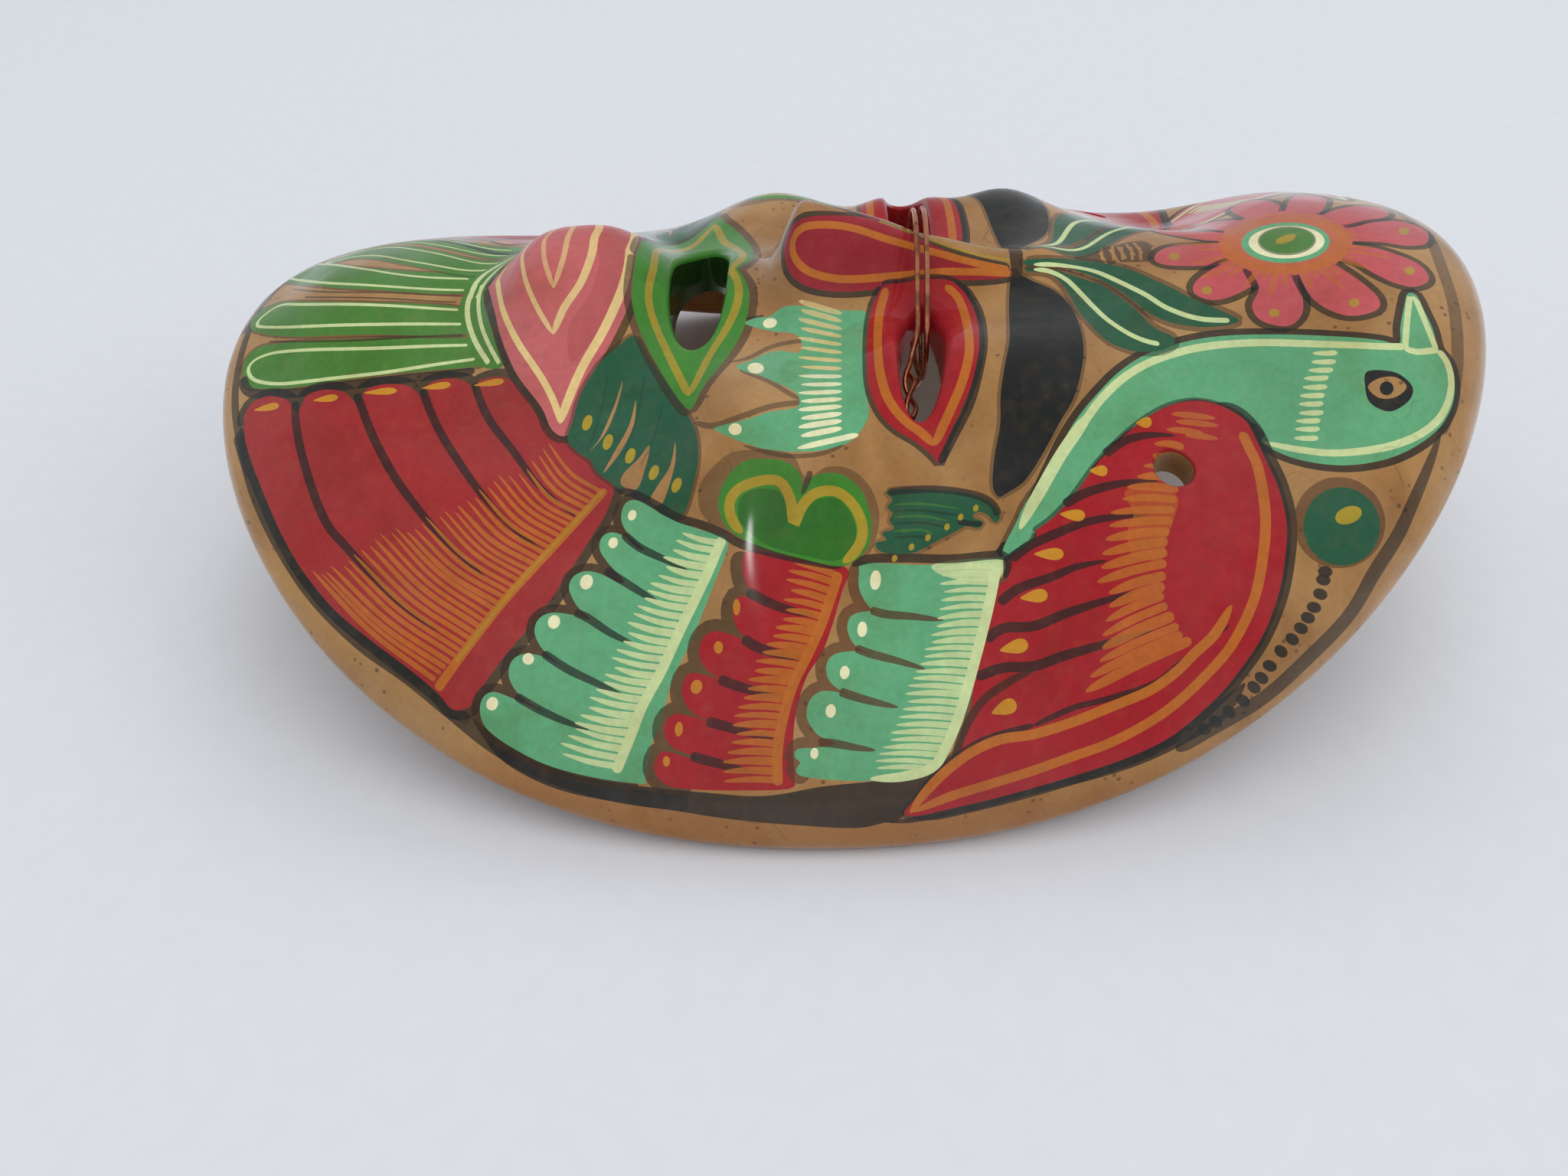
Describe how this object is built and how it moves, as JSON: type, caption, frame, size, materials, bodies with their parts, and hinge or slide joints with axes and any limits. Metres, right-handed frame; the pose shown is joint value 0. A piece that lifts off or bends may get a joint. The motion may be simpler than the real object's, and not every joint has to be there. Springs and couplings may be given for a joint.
{
  "type": "painted terracotta mask",
  "caption": "Hollow painted clay face mask with a saddle-shaped rim, open eyes and mouth, two hanging holes and a copper wire wound over the bridge of the nose.",
  "frame": {"origin": "centre of the bounding box at its base: the surface that the mask lies on, face up, below the middle of the face", "axes": "+Z out of the face, +Y from the beard towards the forehead, +X across the face towards the eye slot that holds the wire's tail"},
  "size_m": [0.1384, 0.1768, 0.0545],
  "materials": {
    "painted_clay": "low-fired buff clay, painted flat in dark green, pink, red, black, pale green and ochre, under a satin varnish",
    "copper_wire": "browned bare copper wire"
  },
  "bodies": {
    "root": {"mask_shell": "painted_clay", "bridge_wire": "copper_wire"}
  },
  "joints": []
}
